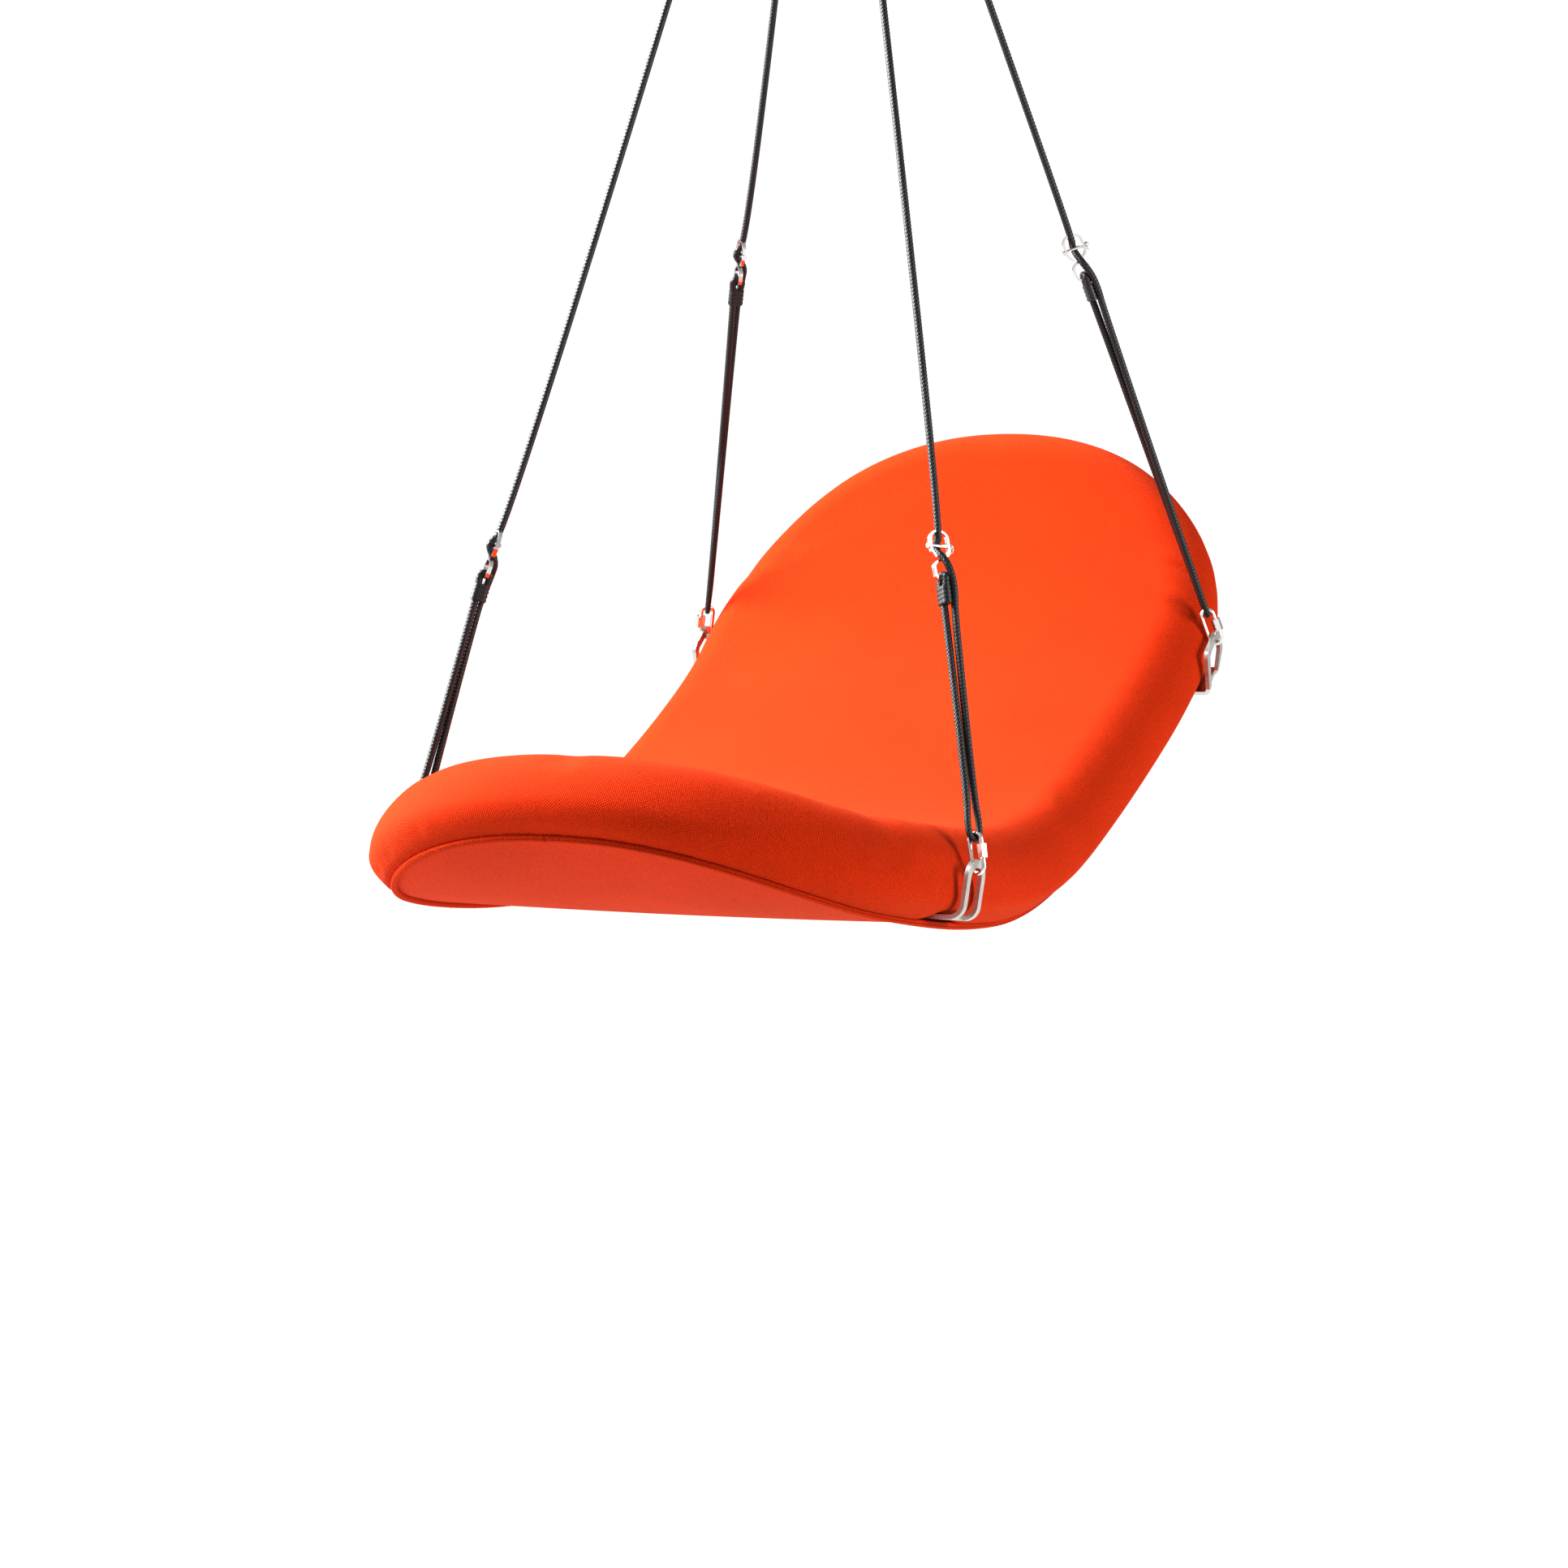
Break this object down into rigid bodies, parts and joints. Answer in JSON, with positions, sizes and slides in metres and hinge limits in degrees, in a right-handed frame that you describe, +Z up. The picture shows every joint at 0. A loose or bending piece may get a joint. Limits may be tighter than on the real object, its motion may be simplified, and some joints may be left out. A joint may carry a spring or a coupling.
{
  "type": "hanging lounge swing seat",
  "caption": "Reclining hanging seat: a bent, padded shell with a rolled edge, slung from a ceiling swivel by rope legs with length adjusters, screw links and side brackets.",
  "frame": {"origin": "centre of the ceiling plate's upper face, which bears on the ceiling", "axes": "+Z up out of the plate into the ceiling; the sitter looks along -Y; +X is on the right of a person who stands in front and looks at the sitter"},
  "size_m": [0.726, 1.3312, 1.6931],
  "materials": {
    "fitting_steel": "satin stainless steel",
    "polished_steel": "polished stainless steel",
    "bracket_steel": "fine brushed stainless steel plate",
    "rope_braid": "black braided polyester rope",
    "crimp_black": "black ribbed sleeve",
    "shell_wood": "bent plywood, hidden",
    "foam": "open-cell upholstery foam, hidden",
    "cover_fabric": "stretched orange-red upholstery fabric, slight sheen",
    "panel_fabric": "duller orange-red lining fabric"
  },
  "bodies": {
    "ceiling": {"ceiling_plate": "fitting_steel", "ceiling_fork": "fitting_steel", "fork_pin": "fitting_steel", "fork_pin_circlip": "fitting_steel"},
    "swivel_top": {"swivel_top_eye": "fitting_steel", "swivel_bolt": "fitting_steel", "swivel_thrust_washer": "fitting_steel"},
    "swivel_lower": {"swivel_body": "fitting_steel"},
    "seat": {"rope_ring": "fitting_steel", "rope_front_left": "rope_braid", "top_crimp_front_left": "crimp_black", "rope_crimp_front_left": "crimp_black", "adjuster_hook_front_left": "polished_steel", "adjuster_pin_front_left": "polished_steel", "adjuster_split_ring_front_left": "polished_steel", "link_body_front_left": "polished_steel", "bracket_front_left": "bracket_steel", "rope_front_right": "rope_braid", "top_crimp_front_right": "crimp_black", "rope_crimp_front_right": "crimp_black", "adjuster_hook_front_right": "polished_steel", "adjuster_pin_front_right": "polished_steel", "adjuster_split_ring_front_right": "polished_steel", "link_body_front_right": "polished_steel", "bracket_front_right": "bracket_steel", "rope_back_left": "rope_braid", "top_crimp_back_left": "crimp_black", "rope_crimp_back_left": "crimp_black", "adjuster_hook_back_left": "polished_steel", "adjuster_pin_back_left": "polished_steel", "adjuster_split_ring_back_left": "polished_steel", "link_body_back_left": "polished_steel", "bracket_back_left": "bracket_steel", "rope_back_right": "rope_braid", "top_crimp_back_right": "crimp_black", "rope_crimp_back_right": "crimp_black", "adjuster_hook_back_right": "polished_steel", "adjuster_pin_back_right": "polished_steel", "adjuster_split_ring_back_right": "polished_steel", "link_body_back_right": "polished_steel", "bracket_back_right": "bracket_steel", "bracket_screws": "fitting_steel", "tee_nuts": "fitting_steel", "seat_shell": "shell_wood", "foam_pad": "foam", "top_cover": "cover_fabric", "underside_padding": "foam", "underside_panel": "panel_fabric", "piping": "cover_fabric"},
    "nut_front_left": {"link_nut_front_left": "polished_steel"},
    "nut_front_right": {"link_nut_front_right": "polished_steel"},
    "nut_back_left": {"link_nut_back_left": "polished_steel"},
    "nut_back_right": {"link_nut_back_right": "polished_steel"}
  },
  "joints": [
    {"name": "swing_fore_aft", "type": "hinge", "parent": "ceiling", "child": "swivel_top", "pos_m": [0, 0, -0.02], "axis": [1, 0, 0], "range_deg": [-30, 30]},
    {"name": "twist", "type": "hinge", "parent": "swivel_top", "child": "swivel_lower", "pos_m": [0, 0, -0.045], "axis": [0, 0, 1], "continuous": true},
    {"name": "swing_sideways", "type": "hinge", "parent": "swivel_lower", "child": "seat", "pos_m": [0, 0, -0.073], "axis": [0, 1, 0], "range_deg": [-20, 20]},
    {"name": "link_nut_front_left_slide", "type": "slide", "parent": "seat", "child": "nut_front_left", "axis": [0.2082, 0.2393, 0.9484], "range_m": [0, 0.0039]},
    {"name": "link_nut_front_right_slide", "type": "slide", "parent": "seat", "child": "nut_front_right", "axis": [-0.2145, 0.24, 0.9468], "range_m": [0, 0.0039]},
    {"name": "link_nut_back_left_slide", "type": "slide", "parent": "seat", "child": "nut_back_left", "axis": [0.2526, -0.2867, 0.9241], "range_m": [0, 0.0039]},
    {"name": "link_nut_back_right_slide", "type": "slide", "parent": "seat", "child": "nut_back_right", "axis": [-0.254, -0.2867, 0.9237], "range_m": [0, 0.0039]}
  ]
}
